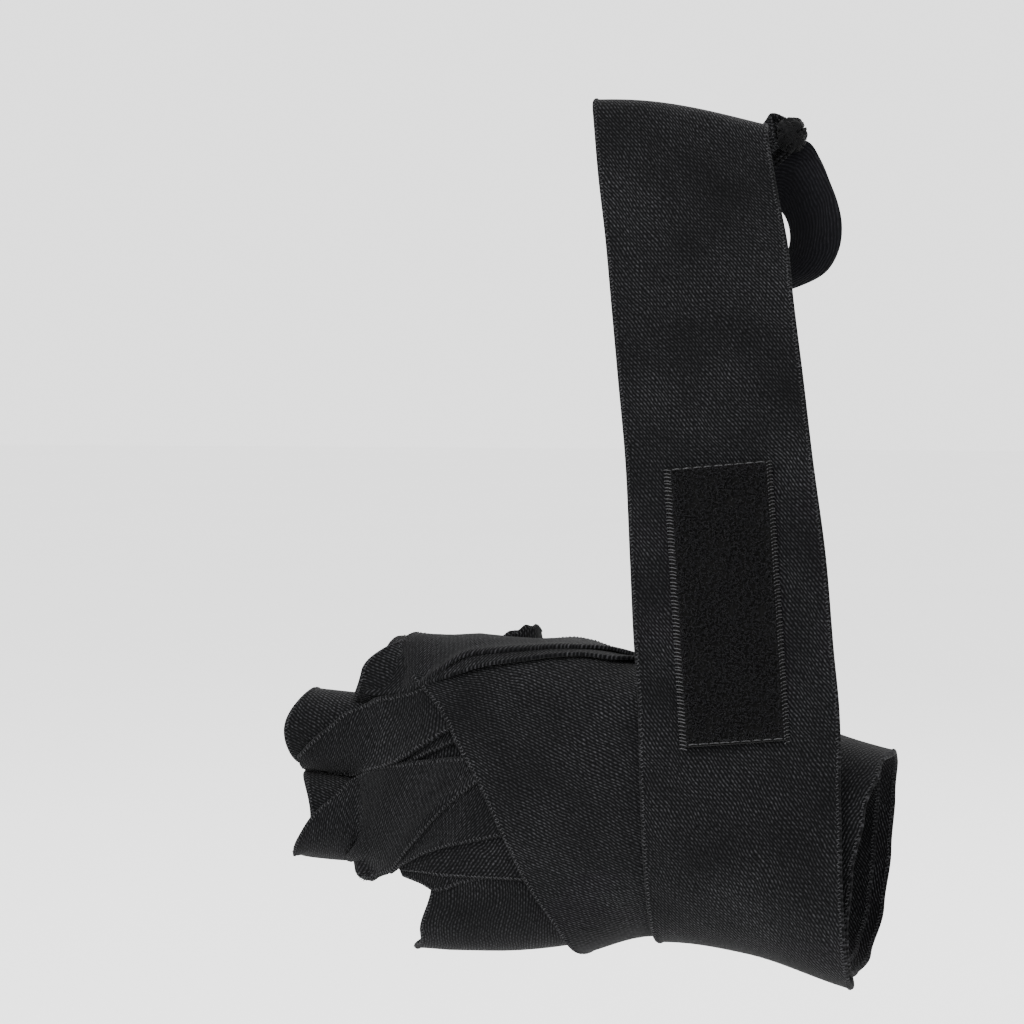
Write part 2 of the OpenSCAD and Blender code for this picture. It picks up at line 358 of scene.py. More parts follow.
def between(left, right, v):
    """Points across from one rail to another."""
    v = v[None, :, None]
    return left[:, None] * (1 - v) + right[:, None] * v


# Uneven waves in a band: their height and their size
WAVE = 0.16
WAVE_SIZE = 8.0


def ripple(p, size):
    """Slow irregular waves over space, from -1 to 1."""
    x, y, z = (p[..., i] / size for i in range(3))
    return (np.sin(x * 1.7 + 1.3 * np.sin(z * 1.1)) + np.sin(z * 2.3 + y + 1.9 * np.sin(x * 0.7))
            + np.sin(1.3 * (x + z) + y * 0.6)) / 3


def band(name, left, right, lift, twill=0.0, folds=(), cols=26, step=1.5, threads=(True, True)):
    """A band of the strip on the hand. lift is (place along, lift) pairs, or one number.

    folds are (place across at the start, place at the end, half width, height) ridges or grooves.
    """
    table = [(0, lift), (1, lift)] if isinstance(lift, (int, float)) else lift
    levels = np.interp(np.linspace(0, 1, len(left)), *zip(*table))
    rails = np.concatenate([rail(left, levels), rail(right, levels)], axis=1)
    middle = (rails[:, :3] + rails[:, 3:]) / 2
    length = np.linalg.norm(np.diff(middle, axis=0), axis=1).sum()
    u = np.linspace(0, 1, max(10, int(length / step)))
    v = columns(cols)
    rails = smooth_path(rails, u)
    grid = between(rails[:, :3], rails[:, 3:], v)
    level = np.interp(u, *zip(*table))[:, None] + np.zeros((1, cols))
    grid = lay(grid, level)
    for v0, v1, half_width, height in folds:
        centre = (v0 + (v1 - v0) * u)[:, None]
        level = level + height * np.exp(-((v[None, :] - centre) / half_width) ** 2)
    level = level + WAVE * ripple(grid, WAVE_SIZE)
    out = outward(grid)
    grid = grid + out * (level - distance(grid))[..., None]
    normals = grid_normals(grid)
    normals *= np.sign((normals * out).sum(axis=-1, keepdims=True))
    return cloth(name, grid, normals, twill=twill, threads=threads)


def round_values(values, angle):
    """Values given at equal angles round a ring, eased to every angle."""
    turns = np.linspace(0, TURN, len(values) + 1)
    v = np.array(list(values) + [values[0]], float)
    k = np.searchsorted(turns, angle, side="right") - 1
    s = (angle - turns[k]) / (turns[k + 1] - turns[k])
    s = s * s * (3 - 2 * s)
    return v[k] * (1 - s) + v[k + 1] * s


def ring_places(left, right, angle, v):
    """Places along a ring's axis, for each angle round it and each place across it."""
    return round_values(left, angle)[:, None] * (1 - v) + round_values(right, angle)[:, None] * v


def sleeve(name, finger, left, right, lift, twill, cols=20, count=72):
    """A ring round a finger. Edges are distances along its axis at its top, front, foot and back."""
    a, b, radius = FINGERS[finger]
    a, b = np.array(a, float), np.array(b, float)
    d = (b - a) / np.linalg.norm(b - a)
    up = np.array([0, 0, 1.0]) - d * d[2]
    up /= np.linalg.norm(up)
    side = np.cross(up, d)
    angle = np.linspace(0, TURN, count, endpoint=False)
    place = ring_places(left, right, angle, columns(cols))
    spoke = np.cos(angle)[:, None, None] * up + np.sin(angle)[:, None, None] * side
    grid = a + place[..., None] * d + (radius + lift) * spoke
    return cloth(name, grid, np.broadcast_to(spoke, grid.shape), ring=True, twill=twill)


def hand_ring(name, left, right, lift, twill, cols=30, count=120):
    """A ring round the palm or wrist. Edges are x at equal angles: front, top, back, bottom."""
    angle = np.linspace(0, TURN, count, endpoint=False)
    x = ring_places(left, right, angle, columns(cols))
    mid, half_h, half_d = section_at(x)
    y = -(half_d + lift) * np.cos(angle)[:, None]
    z = mid + (half_h + lift) * np.sin(angle)[:, None]
    grid = lay(np.stack([x, y, z], axis=-1), lift)
    return cloth(name, grid, outward(grid), ring=True, twill=twill)


# ---- Materials ----


def new_material(name, color, roughness, specular=0.08, sheen=0.0):
    """A material with one shader. Returns it, its node tree and its shader."""
    mat = bpy.data.materials.new(name)
    mat.use_nodes = True
    shader = mat.node_tree.nodes["Principled BSDF"]
    shader.inputs["Base Color"].default_value = (*color, 1)
    shader.inputs["Roughness"].default_value = roughness
    shader.inputs["Specular IOR Level"].default_value = specular
    shader.inputs["Sheen Weight"].default_value = sheen
    shader.inputs["Sheen Roughness"].default_value = 0.5
    return mat, mat.node_tree, shader


def calc(tree, operation, *values):
    """A math node on sockets or numbers. Returns its output."""
    n = tree.nodes.new("ShaderNodeMath")
    n.operation = operation
    for socket, value in zip(n.inputs, values):
        if isinstance(value, (int, float)):
            socket.default_value = value
        else:
            tree.links.new(value, socket)
    return n.outputs[0]


def wave(tree, value, period):
    """A wave from 0 to 1 with this period."""
    turned = calc(tree, "MULTIPLY", value, TURN / period)
    return calc(tree, "MULTIPLY_ADD", calc(tree, "SINE", turned), 0.5, 0.5)


def noise(tree, coords, scale, detail=2.0):
    """A noise texture on these coordinates. Returns its output."""
    n = tree.nodes.new("ShaderNodeTexNoise")
    n.inputs["Scale"].default_value = scale
    n.inputs["Detail"].default_value = detail
    tree.links.new(coords, n.inputs["Vector"])
    return n.outputs[0]


def object_coords(tree):
    """Places in the shared frame, in metres."""
    return tree.nodes.new("ShaderNodeTexCoord").outputs["Object"]


def tint(tree, shader, factor, dark, light):
    """Colours the shader between two colours by a factor."""
    ramp = tree.nodes.new("ShaderNodeValToRGB")
    ramp.color_ramp.elements[0].color = (*dark, 1)
    ramp.color_ramp.elements[1].color = (*light, 1)
    tree.links.new(factor, ramp.inputs[0])
    tree.links.new(ramp.outputs[0], shader.inputs["Base Color"])


def raise_by(tree, shader, height, depth):
    """Bumps the shader by a height from 0 to 1 that stands for depth mm."""
    bump = tree.nodes.new("ShaderNodeBump")
    bump.inputs["Strength"].default_value = 1.0
    bump.inputs["Distance"].default_value = depth * MM
    tree.links.new(height, bump.inputs["Height"])
    tree.links.new(bump.outputs[0], shader.inputs["Normal"])


def twill_material(name, dark, light, pitch, dash, depth, solid=0.5, sheen=0.03):
    """Rows of short raised dashes along the first texture axis, in mm, with a painted highlight on the
    dash tops that is stronger in broad patches.

    pitch is the distance between rows and dash the length of a dash. solid, from 0 to 1, says
    how little a row sinks between two dashes.
    """
    mat, tree, shader = new_material(name, dark, 0.88, specular=0.04, sheen=sheen)
    uv = tree.nodes.new("ShaderNodeUVMap")
    uv.uv_map = "Strip"
    split = tree.nodes.new("ShaderNodeSeparateXYZ")
    tree.links.new(uv.outputs[0], split.inputs[0])
    # The rows sway slowly, and each row's dashes are shifted and uneven
    sway = noise(tree, uv.outputs[0], 0.12, 3.0)
    jitter = noise(tree, uv.outputs[0], 0.9, 2.0)
    across = calc(tree, "MULTIPLY_ADD", sway, 2.4, split.outputs[1])
    row = calc(tree, "FLOOR", calc(tree, "DIVIDE", across, pitch))
    along = calc(tree, "MULTIPLY_ADD", row, dash * 0.41, split.outputs[0])
    along = calc(tree, "MULTIPLY_ADD", jitter, dash * 0.9, along)
    line = wave(tree, calc(tree, "ADD", across, -pitch * 0.25), pitch)
    dashes = calc(tree, "MULTIPLY_ADD", wave(tree, along, dash), 1 - solid, solid)
    height = calc(tree, "MULTIPLY", line, dashes)
    raise_by(tree, shader, height, depth)
    # Painted highlight: the tops of the dashes are coloured towards the light colour, as if they caught
    # the light, more in broad patches and here and there
    highlight_patches = calc(tree, "MULTIPLY_ADD", noise(tree, uv.outputs[0], 0.045, 4.0), 1.5, -0.2)
    spark = calc(tree, "MULTIPLY_ADD", noise(tree, uv.outputs[0], 1.1, 1.0), 2.6, -0.55)
    highlight_on_tops = calc(tree, "POWER", height, 2.0)
    tint(tree, shader, calc(tree, "MULTIPLY", highlight_on_tops, calc(tree, "MULTIPLY", highlight_patches, spark)), dark, light)
    return mat


def thread_material(name, dark, light, roughness=0.8):
    """Spun thread: a colour that varies over a few tenths of a millimetre."""
    mat, tree, shader = new_material(name, dark, roughness, sheen=0.03)
    fine = noise(tree, object_coords(tree), 1800.0, 3.0)
    tint(tree, shader, calc(tree, "MULTIPLY_ADD", fine, 2.0, -0.5), dark, light)
    raise_by(tree, shader, fine, 0.05)
    return mat


# The light colours of the cloth and of the tape are painted highlights, given to the tops of their
# dashes and ribs
CLOTH = twill_material("black_twill", (0.001, 0.001, 0.0012), (0.04, 0.04, 0.043), 0.74, 1.35, 0.2)
TAPE = twill_material("ribbed_tape", (0.0018, 0.0018, 0.0024), (0.011, 0.011, 0.013), 0.9, 9.0, 0.12,
                      solid=0.9, sheen=0.05)
EDGE_THREAD = thread_material("edge_thread", (0.006, 0.006, 0.0065), (0.04, 0.04, 0.042))
PILE = thread_material("loop_pile", (0.0015, 0.0015, 0.002), (0.008, 0.008, 0.009), 0.9)
PILE_GROUND = thread_material("pile_ground", (0.001, 0.001, 0.001), (0.003, 0.003, 0.003), 0.95)
STITCH = thread_material("patch_thread", (0.012, 0.012, 0.013), (0.06, 0.06, 0.062), 0.7)
KNOT = thread_material("knot_thread", (0.0006, 0.0006, 0.0007), (0.0035, 0.0035, 0.0038), 0.9)
HOOKS = thread_material("hook_thread", (0.0015, 0.0015, 0.0018), (0.008, 0.008, 0.009), 0.45)


# ---- Attaching pieces ----


def add(obj, body, nodes=()):
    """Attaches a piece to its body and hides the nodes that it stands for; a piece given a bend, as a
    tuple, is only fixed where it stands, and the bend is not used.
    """
    if isinstance(body, str):
        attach(obj, body)
    else:
        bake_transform(obj)
    if nodes:
        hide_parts(*nodes)
    return obj


def on_hand(obj, *nodes, held="stretched"):
    """Attaches a piece of the strip that stays on the hand to the hand's body."""
    return add(obj, "wrapped_hand", nodes)


# ---- Turns round the palm, wrist and fingers ----

# Rings round the palm and wrist: the node that each stands for, its two edges every 30 degrees
# from the front upwards, its lift and its twill. The other turns are laid on them.
HAND_RINGS = {
    "palm_base": ("palm_turn",
                  (-86, -86, -84, -80, -78, -78, -80, -81, -83, -88.0, -83.5, -79.5),
                  (-27, -27, -27, -27, -48, -48, -34, -27, -27, -27, -27, -27), 0.9, 4),
    "palm_second": ("second_palm_turn",
                    (-52, -60, -62, -62, -56, -50, -50, -50, -48, -40, -38, -44), (-12,) * 12, 2.0, 35),
    "wrist_first": ("first_wrist_turn",
                    (-22,) * 12, (24, 25, 28, 31, 31, 30, 29, 28, 26, 24, 24, 23.5), 0.7, 35),
    "wrist_cuff": ("cuff_turn",
                   (-12,) * 12, (27, 29.5, 32.5, 35.5, 35, 34, 33, 31.5, 29, 26.5, 26, 25.8), 2.0, 20),
}
for ring_name, (ring_node, *shape) in HAND_RINGS.items():
    on_hand(hand_ring(ring_name, *shape), ring_node)

# Sleeves: outer edge at the finger's top, front, foot and back, inner edge, lift and twill
SLEEVES = {
    "index": ((36.2, 45.0, 47.6, 39), (12, 14, 16, 12), 1.0, 75),
    "middle": ((60.6, 64.8, 61.8, 56), (22, 22, 22, 22), 1.0, 60),
    "ring": ((61.8, 57.5, 57.5, 60), (22, 22, 22, 22), 1.0, 60),
    "little": ((30, 27, 36, 29), (12, 12, 12, 12), 0.5, 80),
}
for finger_name, shape in SLEEVES.items():
    on_hand(sleeve(finger_name + "_sleeve", finger_name, *shape), finger_name + "_finger_sleeve")

# ---- The fan of bands between the fingers and the back of the hand, lowest layer first ----

on_hand(band("little_side",
             [(-92, 4), (-84, 7), (-78, 9), (-70, 11), (-55, 14)],
             [(-88, -3.2), (-82.7, -4.6), (-79, -6.2), (-71, -3.6), (-55, 0)],
             [(0, 1.3), (1, 1.2)], twill=-70, threads=(False, True)), "little_side_turn")
on_hand(band("fan_band",
             [(-90, -1), (-86, 3), (-80.4, 6), (-72.6, 9), (-56, 13)],
             [(-87.5, -1.6), (-82.3, -1.6), (-78.4, -1.9), (-67.4, -2), (-50, -1.8)],
             1.9, twill=-38), "little_fan_band", held="gathered")
on_hand(band("ring_lower_band",
             [(-94, -1), (-88, 5), (-82, 11), (-76, 18), (-69, 26), (-60, 32)],
             [(-91, -2.6), (-86.9, 0.6), (-81.7, 3.5), (-77.1, 5.3), (-71.3, 6.9), (-56, 10.5)],
             [(0, 2.2), (1, 2.7)], twill=-48, folds=[(0.97, 0.9, 0.12, 0.5)]), held="gathered")
on_hand(band("knuckle_fold",
             [(-90, 37), (-85, 40), (-80, 42), (-73.8, 44), (-66, 46)],
             [(-92, 24.2), (-85, 26.6), (-80.3, 29), (-73.8, 31.8), (-66, 33)],
             1.8, twill=-60), held="gathered")
on_hand(band("ring_upper_band",
             [(-119.8, -3, 1.5), (-116, 5), (-112, 10.8), (-106, 16.5), (-101, 21.2), (-96.5, 23.7),
              (-87.9, 25.7), (-78.8, 27.2), (-73.6, 27.9), (-64, 29)],
             [(-119.8, 1, 0.8), (-116, 2, -0.2), (-112, 2, -0.6), (-106, 1, -1), (-101, 1, -1.6),
              (-96.5, -1, -2.6), (-91.5, -2.4), (-84.7, 5.6), (-75.6, 15.5), (-64, 25)],
             [(0, 2.2), (0.5, 2.9), (1, 3.1)], twill=-68,
             folds=[(0.5, 0.55, 0.1, -0.35), (0.8, 0.85, 0.12, 0.4)]),
        "ring_cross_band", held="gathered")
on_hand(band("middle_upper_band",
             [(-116.6, 26), (-113, 29.5), (-109, 33), (-106.5, 34.8), (-103.8, 37.4), (-97.9, 40.2),
              (-94.6, 41.9), (-89.4, 42.8), (-84.8, 44.1), (-81.6, 45.2), (-75, 44), (-66, 42)],
             [(-116.6, -2, 25), (-113, -2, 23.8), (-109, -2, 23), (-106.5, -3, 22.8),
              (-102.6, -5, 22.6), (-98.6, 23.2), (-91.4, 25.3), (-86.8, 27.7), (-81.6, 31),
              (-75.1, 35), (-70, 36.5), (-62, 37)],
             [(0, 2.2), (0.5, 2.8), (1, 3.0)], twill=-62,
             folds=[(0.3, 0.45, 0.12, -0.3), (0.95, 0.97, 0.1, 0.5)]),
        "middle_cross_band", held="gathered")

# The turn across the back of the hand, its left selvedge in view
on_hand(band("back_panel",
             [(-85.6, 48.2), (-79.6, 42.9), (-75.5, 37.6), (-72.5, 32.2), (-66.9, 23.3),
              (-59.8, 9.3), (-53.9, -2.8), (-47.7, -13.1), (-42.8, -22.4), (-38, 6, -24),
              (-32, 16, -14)],
             [(-32, 14, 49), (-27, 6, 53), (-22, -4, 52), (-18, -12, 48), (-15, -19, 39),
              (-10, -21, 24), (-4, -21, 10), (1, -18, -5), (5, -8, -18), (9, 6, -20),
              (13, 16, -12)],
             [(0, 3.3), (0.1, 3.9), (1, 3.7)], twill=44, cols=34), "diagonal_back_turn")

# Two bands over the index knuckle, which lie down on the wrist where the run hides their ends
on_hand(band("index_lower",
             [(-91, 53), (-87, 2, 57), (-82, 6, 56), (-75, 10, 54), (-66, 12, 54), (-56, 13, 54),
              (-48, 13, 53), (-43, 13, 53), (-34, 13, 52), (-26, 13, 50), (-12, 13, 44)],
             [(-90, 43.6), (-85, 45), (-81.5, 46.4), (-74.2, 48.8), (-66.4, 50.9), (-56, 52.3),
              (-48.3, 53.2), (-43.1, 53.4), (-34.2, 52.2), (-26.5, 50.3), (-12, 43.5)],
             [(0, 0.5), (0.12, 2.4), (0.3, 4.4), (0.78, 4.9), (0.9, 3.6), (1, 2.9)],
             twill=-50, folds=[(1, 1, 0.2, 0.9)], threads=(True, False)),
        "index_lower_band", held="gathered")
on_hand(band("index_top",
             [(-91, 0, 56), (-88, 2, 57), (-84, 4, 56.5), (-80, 6, 56), (-75, 8, 55), (-69, 10, 53),
              (-62, 12, 52), (-53, 12, 52), (-44, 12, 52), (-36, 12, 51), (-27, 12, 49),
              (-12, 12, 44)],
             [(-99, 43.8), (-93.4, 42.8), (-87.3, 43.8), (-83.2, 46), (-78.5, 49.4), (-71.8, 53.2),
              (-64, 54.2), (-53.6, 55), (-43.4, 55.2), (-35.7, 54.1), (-26.7, 51), (-12, 45)],
             [(0, 0.4), (0.1, 1.6), (0.3, 5.0), (0.78, 5.7), (0.9, 4.6), (1, 3.8)],
             twill=-58, folds=[(0.95, 0.97, 0.1, 0.8)], threads=(True, False)),
        "index_top_band", held="gathered")

# Two turns that cross on the palm side
on_hand(band("palm_cross",
             [(-84, 10, 48), (-60, 16, 30), (-35, 20, 5), (-12, 21, -14), (2, 12, -20)],
             [(-50, 12, 52), (-28, 18, 42), (-5, 21, 22), (12, 21, 2), (20, 12, -20)],
             [(0, 0.2), (0.18, 3.2), (0.85, 3.2), (1, 0.5)], twill=40), "palm_cross_turn")
on_hand(band("palm_counter",
             [(-86, 4, -22), (-64, 16, -4), (-42, 19, 18), (-26, 19, 36), (-16, 8, 46)],
             [(-46, 4, -22), (-28, 18, -12), (-8, 21, 8), (6, 20, 22), (14, 8, 36)],
             [(0, 0.1), (0.2, 4.4), (0.85, 4.4), (1, 2.0)], twill=40), "palm_counter_turn")

# ---- The free run: from the wrist, up, over the fold and into the knot ----

# The run leans back from here as it rises, by LEAN mm for each mm of height
RUN_Y = -24.8
RUN_Z = 27.0
LEAN = 0.24


def run_rail(points):
    """A rail of the run, where (x, z) stands for the place at that height on the leaning run."""
    return [p if len(p) == 3 else (p[0], RUN_Y + LEAN * (p[1] - RUN_Z), p[1]) for p in points]


# The strip's two edges, from under the wrist to where the fold begins
RUN_LEFT = run_rail([
    (-21, 17, -4), (-22, 12, -12), (-22.8, 3, -17.5), (-23, -8, -17), (-23.1, -17, -10),
    (-23.3, -22.5, 0), (-23.6, -25, 9), (-24.1, -25.8, 20.5), (-24.7, 33), (-25.5, 45),
    (-27, 57.7), (-28.9, 78.7), (-31.2, 103.8), (-33.8, 123), (-36.4, 142.3), (-38.8, 160),
    (-41.2, 175), (-43.4, 191.9)])
RUN_RIGHT = run_rail([
    (22, 17, -12), (24, 12, -19), (26, 3, -25), (26.4, -8, -25.5), (26.1, -16, -19),
    (25.2, -22.5, -7), (24.6, -25, 5), (24.3, -25.8, 18.5), (23.9, 33), (23.2, 44),
    (21.6, 56.6), (19, 79.4), (14.9, 104.5), (12, 124), (9, 143.3), (7, 158),
    (4.4, 169.5), (1.4, 184.4)])
RUN_LIFT = 5.3
# Below the first height the run lies on the wrist, above the second it is free
LEAVES = (20.0, 34.0)
RUN_ROWS = 220
RUN_TWILL = -36
RUN_V = columns(44)
# 0 at the strip's edges and 1 in its middle
ARCH = np.sin(math.pi * RUN_V)[None, :]
# Heights at which the run is cut into pieces
CUTS = (62.0, 140.0)
# The rows before this one lie round the wrist
WRIST_ROWS = 60
# Directions out of the free run's face and up along it
RUN_OUT = np.array([0.0, -0.972, 0.233])
RUN_UP = np.array([-0.139, 0.231, 0.963])
# The strip bows forward a little between its edges, and has slight lengthways waves
BOW = 0.9
RUN_WAVE = 0.22
RUN_WAVE_SIZE = 13.0
# The fold is a half roll over the holder's finger, which isn't modelled
FOLD_R = 5.0
FOLD_ROWS = 14
# The top of the strip bows up between its edges over its last stretch, more on the left
CROWN = 1.9
CROWN_LEN = 26.0
# Behind the fold the strip turns right and narrows to the knot
TAIL_LEFT = [(-41.5, 26.0, 183), (-38, 27, 174), (-30.5, 28, 168.5), (-20, 28.4, 168),
             (-10, 28.4, 171), (-2, 28.2, 175.5), (3.2, 27.6, 180), (6.2, 27, 183)]
TAIL_RIGHT = [(2.6, 24.6, 183.5), (1.9, 25.6, 186), (1.3, 26.4, 189), (0.6, 27, 191.4),
              (1.4, 27.4, 191.9), (3.0, 27.6, 191.4), (4.8, 27.4, 190.4), (6.6, 27, 189.4)]
TAIL_ROWS = 56
PLEATS = 4.5
PLEAT_DEPTH = 1.5


def run_grid():
    """Points of the run up to the fold, and how free of the wrist each is, from 0 to 1."""
    edges = smooth_path(np.concatenate([RUN_LEFT, RUN_RIGHT], axis=1), np.linspace(0, 1, RUN_ROWS))
    grid = between(edges[:, :3], edges[:, 3:], RUN_V)
    on_wrist = 1 - smoothstep(*LEAVES, grid[..., 2])
    grid = grid + (lay(grid, RUN_LIFT) - grid) * on_wrist[..., None]
    free = 1 - on_wrist
    bow = BOW * ARCH * free
    waves = RUN_WAVE * np.sin(grid[..., 2] / RUN_WAVE_SIZE + RUN_V[None, :] * 5.0) * ARCH
    return grid + RUN_OUT * (bow + waves * free)[..., None], free


def crowned(grid, free):
    """The run with its top bowed up between its edges."""
    crown = CROWN * ARCH * (1.15 - 0.5 * RUN_V)
    near = smoothstep(0, 1, 1 - (grid[-1:, :, 2] - grid[..., 2]) / CROWN_LEN) * free
    return grid + RUN_UP * (crown * near)[..., None]


def half_roll(last):
    """Rows of the fold, from the run's last row over to the back."""
    return np.array([last - RUN_OUT * FOLD_R * (1 - math.cos(phi)) + RUN_UP * FOLD_R * math.sin(phi)
                     for phi in np.linspace(0, math.pi, FOLD_ROWS + 1)[1:]])


def gathered(last):
    """Rows of the tail, from the fold's last row to the knot, with pleats that deepen."""
    u = np.linspace(0, 1, TAIL_ROWS)
    edges = smooth_path(np.concatenate(
        [np.vstack([last[0], TAIL_LEFT]), np.vstack([last[-1], TAIL_RIGHT])], axis=1), u)
    grid = between(edges[:, :3], edges[:, 3:], RUN_V)
    s = u[:, None]
    pleat = np.sin(RUN_V[None, :] * PLEATS * TURN + 0.6) * ARCH ** 0.3
    grid[..., 1] += PLEAT_DEPTH * pleat * smoothstep(0.15, 0.8, s) * (1 - 0.35 * s)
    return grid[1:]


def facing_front(grid):
    """Normals of a stretch of the run, turned so that its middle rows face the front."""
    n = grid_normals(grid)
    return n if n[len(grid) // 2, 10, 1] < 0 else -n


def row_near(grid, z):
    """The row of the free run whose left edge is nearest to a height."""
    return WRIST_ROWS + int(np.argmin(np.abs(grid[WRIST_ROWS:, 0, 2] - z)))


run, run_free = run_grid()
run_normals = facing_front(run)
low_cut, high_cut = (row_near(run, z) for z in CUTS)
run = crowned(run, run_free)
roll = half_roll(run[-1])
folded = np.concatenate([run[high_cut:], roll, gathered(roll[-1])])
run_at = np.concatenate([[0], np.cumsum(
    np.linalg.norm(np.diff(run, axis=0), axis=2).mean(axis=1))])

wrist_run = cloth("wrist_run", run[:low_cut + 1], run_normals[:low_cut + 1], twill=RUN_TWILL)
free_run = cloth("free_run", run[low_cut:high_cut + 1], run_normals[low_cut:high_cut + 1],
                 twill=RUN_TWILL, start=run_at[low_cut])
folded_end = cloth("folded_end", folded, facing_front(folded), twill=RUN_TWILL,
                   start=run_at[high_cut])
add(wrist_run, ("wrapped_hand", "patch_run", (0, -0.0248, 0.020), (0, -0.0248, 0.034)),
    ("last_wrist_turn",))
add(free_run, ("patch_run", "upper_part", (-0.0072, -0.0072, 0.1014), (-0.0080, -0.0055, 0.1076)),
    ("lower_run", "upper_run"))
add(folded_end, ("upper_part", "tail", (-0.0195, 0.0200, 0.1940), (-0.0195, 0.0265, 0.1940)),
    ("top_fold", "gathered_tail"))

# ---- The loop patch and its stitches ----

# The patched stretch's own frame: x across, -y out and z along, from where the run leaves the
# wrist, turned about X and about Y in degrees
LOWER_AT = np.array([0, RUN_Y, RUN_Z])
LOWER_TURN = (-13.5, -5.5)
PATCH_W = 25.4
PATCH_X = -0.5
PATCH_Z = (7.6, 77.4)
PATCH_HALF = 0.65
# The middle of the patch's ground lies this far out, and is crowned by this much more
PATCH_OUT = 1.15 + 0.75 * BOW
PATCH_CROWN = 0.25
# The strip's own face beside the patch
STRIP_FACE = -0.55 - 0.7 * BOW
PILE_COUNT = 5600
PILE_R = 0.085
WHIP_STEP = 0.92
STITCH_STEP = 2.6
WHIP_R = 0.13
STITCH_R = 0.15


def turned(rx, ry):
    """Rotation by ry about Y and then rx about X, in degrees."""
    a, b = math.radians(rx), math.radians(ry)
    about_x = np.array([[1, 0, 0], [0, math.cos(a), -math.sin(a)], [0, math.sin(a), math.cos(a)]])
    about_y = np.array([[math.cos(b), 0, math.sin(b)], [0, 1, 0], [-math.sin(b), 0, math.cos(b)]])
    return about_x @ about_y


LOWER = turned(*LOWER_TURN)


def on_lower(points):
    """Points in the patched stretch's own frame, moved to the shared frame."""
    return LOWER_AT + np.asarray(points, float) @ LOWER.T


def patch_ground():
    """The patch's woven ground."""
    gx, gz = np.meshgrid((columns(26) - 0.5) * PATCH_W + PATCH_X, np.linspace(*PATCH_Z, 60))
    gy = -PATCH_OUT - PATCH_CROWN * (1 - ((gx - PATCH_X) / (PATCH_W / 2)) ** 2)
    gy = gy + 0.2 * ripple(np.stack([gx, gy, gz], axis=-1), 5.0)
    grid = on_lower(np.stack([gx, gy, gz], axis=-1))
    return cloth("loop_patch_ground", grid, np.broadcast_to(LOWER @ [0, -1, 0], grid.shape),
                 half=PATCH_HALF, bead=-0.2, threads=(False, False), material=PILE_GROUND)


def patch_pile():
    """Curly pile: each fibre is part of a small ring that stands on the ground."""
    curls = []
    for _ in range(PILE_COUNT):
        x = rng.uniform(-0.5, 0.5) * (PATCH_W - 1.6)
        z = rng.uniform(PATCH_Z[0] + 0.6, PATCH_Z[1] - 0.6)
        face = -PATCH_OUT - PATCH_CROWN * (1 - (x / (PATCH_W / 2)) ** 2) - PATCH_HALF
        heading = rng.uniform(0, TURN)
        radius = rng.uniform(0.3, 0.62)
        arc = np.linspace(-0.9, rng.uniform(3.2, 4.6), 7)
        side = radius * np.cos(arc) + 0.12 * arc
        out = 0.15 + radius * (0.75 + np.sin(arc)) * rng.uniform(0.5, 1.0)
        drift = 0.16 * arc * rng.uniform(-1, 1)
        curls.append(on_lower(np.stack([
            PATCH_X + x + side * math.cos(heading) - drift * math.sin(heading), face - out,
            z + side * math.sin(heading) + drift * math.cos(heading)], axis=1)))
    return tubes("loop_patch_pile", curls, PILE_R, PILE, sides=3)


def whip_stitches():
    """Short threads over the patch's two long sides, wider on the left."""
    top = -PATCH_OUT - PATCH_HALF - 0.2
    paths = []
    for side, reach, out in ((-1, 0.9, 0.95), (1, 0.5, 0.65)):
        edge = PATCH_X + side * PATCH_W / 2
        for place in np.arange(PATCH_Z[0] - 0.4, PATCH_Z[1] + 0.4, WHIP_STEP):
            z = place + rng.uniform(-0.15, 0.15)
            paths.append(on_lower([
                (edge - side * reach, top + 0.1, z - 0.35),
                (edge - side * reach * 0.5, top - 0.12, z - 0.2),
                (edge, top + 0.15, z),
                (edge + side * out * 0.6, (top + STRIP_FACE) / 2, z + 0.15),
                (edge + side * out, STRIP_FACE + 0.1, z + 0.3)]))
    return tubes("patch_side_stitches_thread", paths, WHIP_R, STITCH)


def end_stitches():
    """Running stitches across the patch's two ends."""
    face = -PATCH_OUT - PATCH_HALF - 0.45
    paths = []
    for z in (PATCH_Z[0] + 0.4, PATCH_Z[1] - 0.5):
        for x in np.arange(-11.8, 11.2, STITCH_STEP):
            paths.append(on_lower([
                (x, face + 0.4, z), (x + 0.4, face, z), (x + 1.1, face - 0.15, z + 0.05),
                (x + 1.8, face, z), (x + 2.2, face + 0.4, z)]))
    return tubes("patch_end_stitches_thread", paths, STITCH_R, STITCH)


add(patch_ground(), "patch_run", ("loop_patch",))
add(patch_pile(), "patch_run", ())
add(whip_stitches(), "patch_run", ("patch_side_stitches",))
add(end_stitches(), "patch_run", ("patch_end_stitches",))

# ---- The hook patch behind the tail ----

TAIL_AT = np.array([-19.28, 28.9, 192.2])
# The patch's left, right, bottom and top, from TAIL_AT
HOOK_X = (-18, 4)
HOOK_Z = (-19.5, -7.0)
HOOK_STEP = (0.85, 0.95)
SEAM_STEP = 2.4


def hook_ground():
    """The hook patch's woven ground."""
    hx, hz = np.meshgrid(np.linspace(*HOOK_X, 24), np.linspace(*HOOK_Z, 16))
    grid = TAIL_AT + np.stack([hx, 1.0 + 0.15 * np.sin(hx), hz], axis=-1)
    return cloth("hook_patch_ground", grid, np.broadcast_to([0.0, 1.0, 0.0], grid.shape),
                 half=0.35, bead=0.0, threads=(False, False), material=HOOKS)


